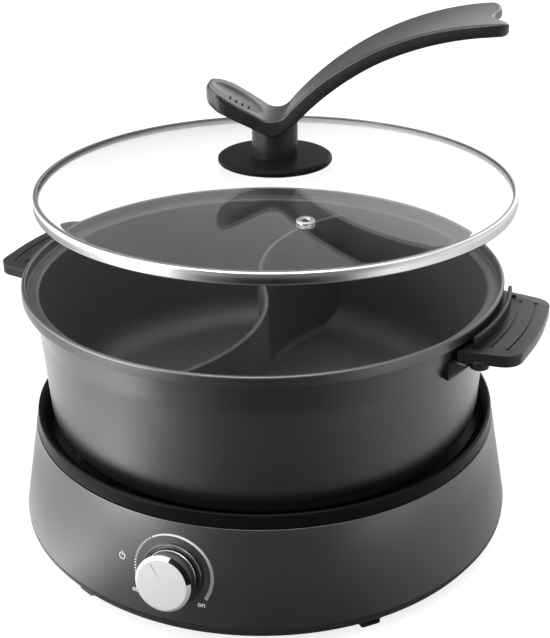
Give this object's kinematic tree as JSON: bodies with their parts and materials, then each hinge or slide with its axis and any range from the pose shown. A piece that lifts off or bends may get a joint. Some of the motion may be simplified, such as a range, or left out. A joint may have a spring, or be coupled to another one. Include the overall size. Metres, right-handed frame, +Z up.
{
  "type": "electric hot pot with lid",
  "caption": "Electric hot pot: round heating base with a control knob, lift-out pot with a curved divider and side handles, and a lift-off glass lid with a V-shaped handle.",
  "frame": {"origin": "Centre of the base at the surface the feet stand on; the base, pot and lid share this vertical axis.", "axes": "+Z up; -Y is the control knob's side; X runs roughly along the pot's side handles."},
  "size_m": [0.3814, 0.3554, 0.3517],
  "materials": {
    "skirt": "satin metallic gunmetal",
    "black_plastic": "fine matt",
    "rim": "semi-gloss black",
    "sheet_steel": "plain sheet",
    "band_steel": "bright brushed",
    "well_coat": "heat-proof black coating",
    "pot_coat": "satin metallic dark grey, non-stick inside",
    "plate_aluminium": "cast and turned",
    "element_steel": "heat-tinted",
    "brass_parts": "plated",
    "clear_glass": "clear tempered",
    "handle_plastic": "soft matt black",
    "knob_metal": "spun silver face",
    "rubber_parts": "matt",
    "silicone": "matt heat-proof",
    "thermostat_case": "ceramic-filled phenolic",
    "screw_steel": "zinc plated"
  },
  "bodies": {
    "base": {"foot_front_left": "black_plastic", "foot_front_right": "black_plastic", "foot_rear_left": "black_plastic", "foot_rear_right": "black_plastic", "foot_pads": "rubber_parts", "bottom_cover": "black_plastic", "base_skirt": "skirt", "base_rim": "rim", "base_well": "well_coat", "support_posts": "sheet_steel", "cover_screws": "screw_steel", "well_screws": "screw_steel", "heating_plate": "plate_aluminium", "heating_element": "element_steel", "heat_reflector": "sheet_steel", "plate_studs": "screw_steel", "stud_nuts": "screw_steel", "sensor_sleeve": "brass_parts", "sensor_spring": "sheet_steel", "thermal_fuse": "thermostat_case", "fuse_clip": "sheet_steel", "knob_bezel": "black_plastic", "regulator": "thermostat_case", "bezel_screws": "screw_steel", "power_inlet": "black_plastic", "inlet_pins": "brass_parts"},
    "sensor": {"sensor_cap": "plate_aluminium", "sensor_stem": "brass_parts"},
    "knob": {"knob_body": "knob_metal", "knob_cap": "knob_metal", "knob_shaft": "brass_parts"},
    "pot": {"pot_shell": "pot_coat", "pot_divider": "pot_coat", "handle_grip_right": "handle_plastic", "handle_grip_left": "handle_plastic", "handle_bracket_right": "handle_plastic", "handle_bracket_left": "handle_plastic", "grip_screws": "screw_steel", "wall_studs": "screw_steel", "wall_nuts": "screw_steel"},
    "lid": {"lid_glass": "clear_glass", "lid_band": "band_steel", "lid_seals": "silicone", "vent_eyelet": "rubber_parts", "seat_gasket": "silicone", "handle_seat": "handle_plastic", "lid_handle": "handle_plastic", "lid_post": "handle_plastic", "lid_washer": "sheet_steel", "lid_screw": "screw_steel"}
  },
  "joints": [
    {"name": "pot_lift", "type": "slide", "parent": "base", "child": "pot", "axis": [0, 0, 1], "range_m": [0, 0.13]},
    {"name": "lid_lift", "type": "slide", "parent": "pot", "child": "lid", "axis": [0.1377, 0.0493, 0.9892], "range_m": [-0.06015, 0.05]},
    {"name": "knob_turn", "type": "hinge", "parent": "base", "child": "knob", "pos_m": [0, -0.16569, 0.046], "axis": [0, -0.9829, 0.184], "range_deg": [-160, 91]},
    {"name": "sensor_press", "type": "slide", "parent": "base", "child": "sensor", "axis": [0, 0, 1], "range_m": [-0.002, 0], "stiffness_N_per_m": 300, "springref_m": 0.001, "deforming": ["sensor_spring"]}
  ]
}
